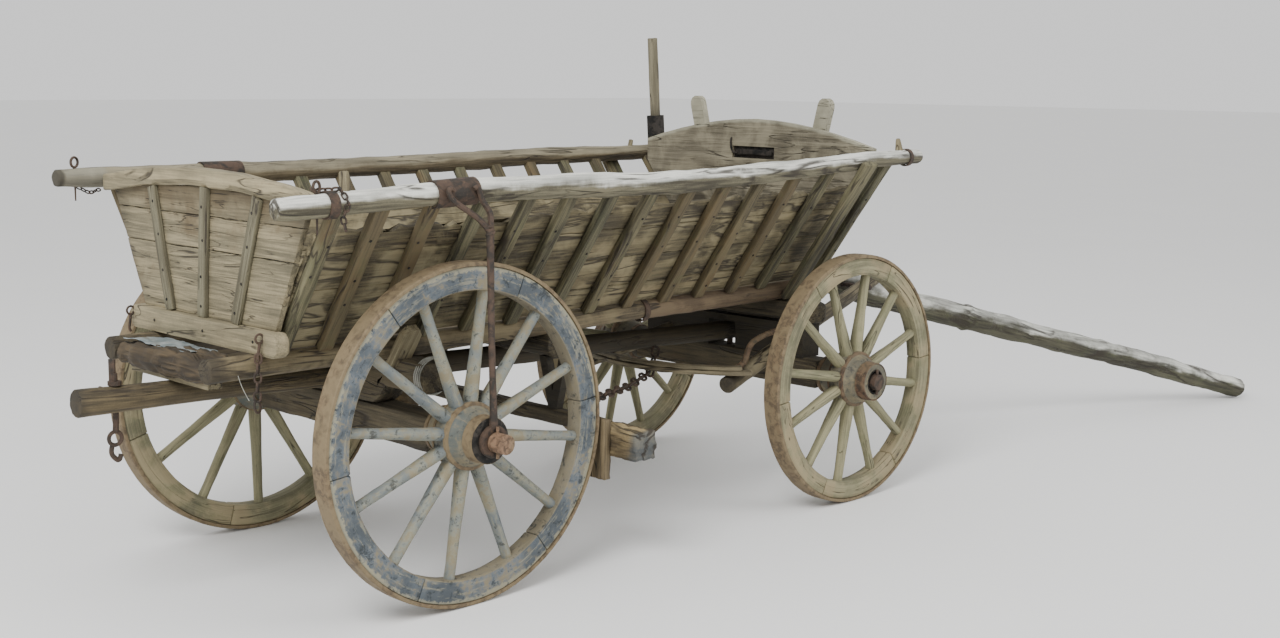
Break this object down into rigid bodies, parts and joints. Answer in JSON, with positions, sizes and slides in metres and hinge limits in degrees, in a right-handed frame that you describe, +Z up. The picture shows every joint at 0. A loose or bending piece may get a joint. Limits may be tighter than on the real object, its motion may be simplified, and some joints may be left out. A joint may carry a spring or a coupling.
{
  "type": "weathered wooden farm cart",
  "caption": "Old wooden ladder-sided farm cart with spoked iron-tyred wheels, a steered front axle, a lift-out tailboard and a draught pole resting on the ground.",
  "frame": {"origin": "middle of the cart's footprint on the ground", "axes": "+X forward towards the pole's tip, +Y to the cart's left, +Z up"},
  "size_m": [5.9026, 1.57, 1.7612],
  "materials": {
    "tyre_iron": "rusted flat iron tyre, sandy with road dirt",
    "iron": "rusty wrought iron",
    "painted_wood": "faded blue-grey paint over weathered wood",
    "wheel_wood": "bare weathered wheel wood, olive grey",
    "slat_wood": "weathered grey-green split timber",
    "board_wood": "sun-bleached beige boards with open grain",
    "rail_wood": "round pole, weathered grey-brown",
    "dark_wood": "dark weathered beam",
    "rotten_wood": "crumbled yellow-brown end grain",
    "hound_wood": "weathered brown timber",
    "pole_wood": "silver-grey cracked pole"
  },
  "bodies": {
    "wagon": {"bed_rail_left": "rail_wood", "bed_rail_right": "rail_wood", "brake_beam": "dark_wood", "brake_block_left": "rotten_wood", "brake_block_right": "rotten_wood", "brake_hanger_left": "dark_wood", "brake_hanger_right": "dark_wood", "brake_shoe_left": "board_wood", "brake_shoe_right": "board_wood", "corner_post": "board_wood", "floor_board_1": "board_wood", "floor_board_2": "board_wood", "floor_board_3": "board_wood", "fork_rod_left": "iron", "fork_rod_right": "iron", "front_board": "board_wood", "front_bolster": "dark_wood", "front_stake_left": "slat_wood", "front_stake_right": "slat_wood", "kingpin": "iron", "ladder_left": "slat_wood", "ladder_right": "slat_wood", "mid_crossbar": "dark_wood", "post_socket": "iron", "rail_clamp_left": "iron", "rail_clamp_right": "iron", "reach_bolt": "iron", "reach_pole": "dark_wood", "rear_axle_beam": "dark_wood", "rear_axle_iron": "iron", "rear_bolster": "dark_wood", "rear_cross_beam": "rail_wood", "rear_cross_board": "board_wood", "side_board_lower_left": "board_wood", "side_board_lower_right": "board_wood", "side_board_upper_left": "board_wood", "side_board_upper_right": "board_wood"},
    "fore_carriage": {"brace_left": "iron", "brace_right": "iron", "fore_block": "dark_wood", "front_axle_beam": "dark_wood", "front_axle_iron": "iron", "hound_left": "hound_wood", "hound_right": "hound_wood", "pole_pin": "iron", "sway_bar": "hound_wood"},
    "pole": {"pole": "pole_wood"},
    "tailboard": {"tail_arch": "board_wood", "tail_frame": "board_wood", "tail_plank_lower": "board_wood", "tail_plank_upper": "board_wood"},
    "wheel_front_left": {"tyre_front_left": "tyre_iron", "wheel_front_left": "wheel_wood"},
    "wheel_front_right": {"tyre_front_right": "tyre_iron", "wheel_front_right": "wheel_wood"},
    "wheel_rear_left": {"tyre_rear_left": "tyre_iron", "wheel_rear_left": "painted_wood"},
    "wheel_rear_right": {"tyre_rear_right": "tyre_iron", "wheel_rear_right": "painted_wood"}
  },
  "joints": [
    {"name": "wheel_rear_left_spin", "type": "hinge", "parent": "wagon", "child": "wheel_rear_left", "pos_m": [-2.00831, 0.594, 0.525], "axis": [0, 1, 0], "continuous": true},
    {"name": "wheel_rear_right_spin", "type": "hinge", "parent": "wagon", "child": "wheel_rear_right", "pos_m": [-2.00831, -0.594, 0.525], "axis": [0, 1, 0], "continuous": true},
    {"name": "wheel_front_left_spin", "type": "hinge", "parent": "fore_carriage", "child": "wheel_front_left", "pos_m": [-0.16331, 0.622, 0.4715], "axis": [0, 1, 0], "continuous": true},
    {"name": "wheel_front_right_spin", "type": "hinge", "parent": "fore_carriage", "child": "wheel_front_right", "pos_m": [-0.16331, -0.622, 0.4715], "axis": [0, 1, 0], "continuous": true},
    {"name": "steering", "type": "hinge", "parent": "wagon", "child": "fore_carriage", "pos_m": [-0.16331, 0, 0.4715], "axis": [0, 0, 1], "range_deg": [-25, 25]},
    {"name": "pole_lift", "type": "hinge", "parent": "fore_carriage", "child": "pole", "pos_m": [0.49169, 0, 0.71964], "axis": [0, -1, 0], "range_deg": [0, 22]},
    {"name": "tailboard_lift", "type": "slide", "parent": "wagon", "child": "tailboard", "axis": [0, 0, 1], "range_m": [0, 0.45]}
  ]
}
